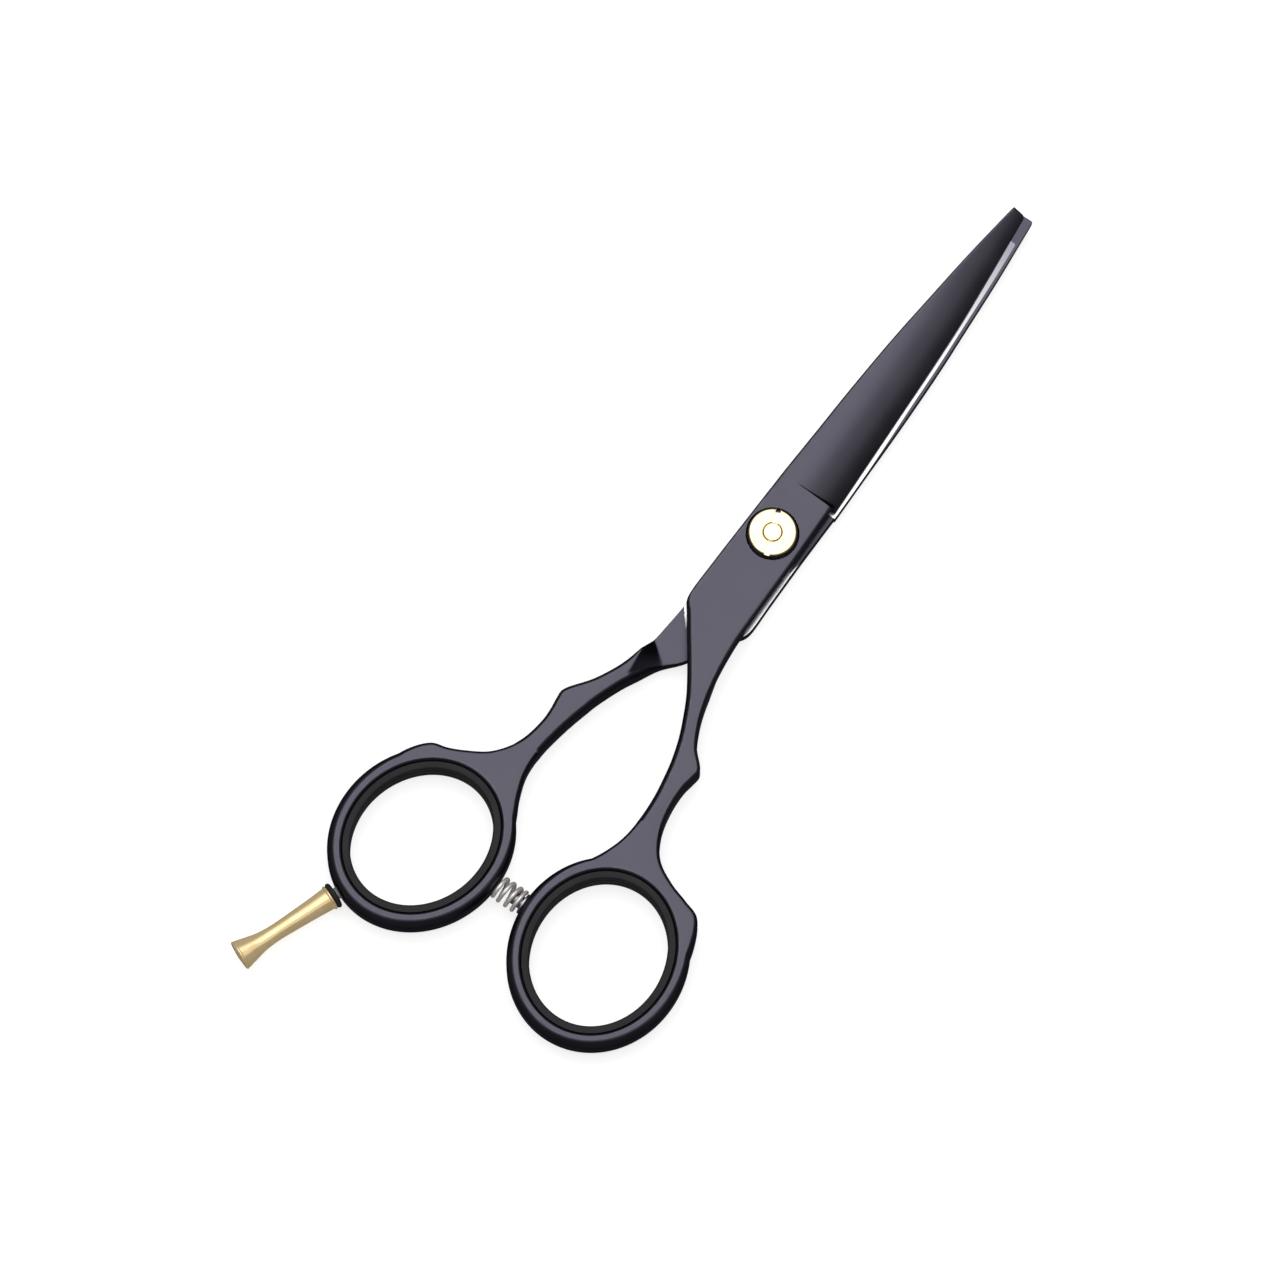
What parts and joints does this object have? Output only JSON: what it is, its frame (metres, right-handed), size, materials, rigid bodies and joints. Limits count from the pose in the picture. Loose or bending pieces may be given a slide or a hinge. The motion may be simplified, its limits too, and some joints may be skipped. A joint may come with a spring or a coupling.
{
  "type": "hair cutting shears",
  "caption": "Right-handed hair cutting shears with convex-ground blades, oval finger rings with rubber inserts, a coil bumper, a slotted tension nut and a screw-in finger rest.",
  "frame": {"origin": "on the pivot axis, at the face of the stud's back head, in the plane that the closed shears lie on", "axes": "+Y towards the blade tips, +X towards the thumb ring seen from the tension nut, +Z along the pivot towards the tension nut"},
  "size_m": [0.0574, 0.1554, 0.0069],
  "materials": {
    "black_coat": "semi-gloss black coating on ground stainless steel",
    "black_rubber": "matt moulded rubber",
    "polished_gold": "polished gold plate",
    "white_nylon": "moulded nylon",
    "spring_steel": "bright drawn steel"
  },
  "bodies": {
    "finger_half": {"back_blade": "black_coat", "back_handle": "black_coat", "back_insert": "black_rubber", "pivot_stud": "polished_gold", "ride_washer": "white_nylon", "disc_spring": "spring_steel", "rest_stud": "spring_steel", "rest_washer": "black_rubber"},
    "thumb_half": {"front_blade": "black_coat", "front_handle": "black_coat", "front_insert": "black_rubber", "pivot_bushing": "white_nylon", "friction_washer": "white_nylon", "bumper_post": "black_coat", "bumper_spring": "spring_steel"},
    "tension_nut": {"tension_nut": "polished_gold"},
    "finger_rest": {"finger_rest": "polished_gold"}
  },
  "joints": [
    {"name": "pivot", "type": "hinge", "parent": "finger_half", "child": "thumb_half", "pos_m": [0, 0, 0.0028], "axis": [0, 0, 1], "range_deg": [0, 120]},
    {"name": "tension_turn", "type": "hinge", "parent": "finger_half", "child": "tension_nut", "pos_m": [0, 0, 0.0062], "axis": [0, 0, 1], "range_deg": [-90, 180]},
    {"name": "rest_turn", "type": "hinge", "parent": "finger_half", "child": "finger_rest", "pos_m": [-0.02156, -0.0786, 0.00282], "axis": [-0.3746, -0.9272, 0], "range_deg": [0, 360]}
  ]
}
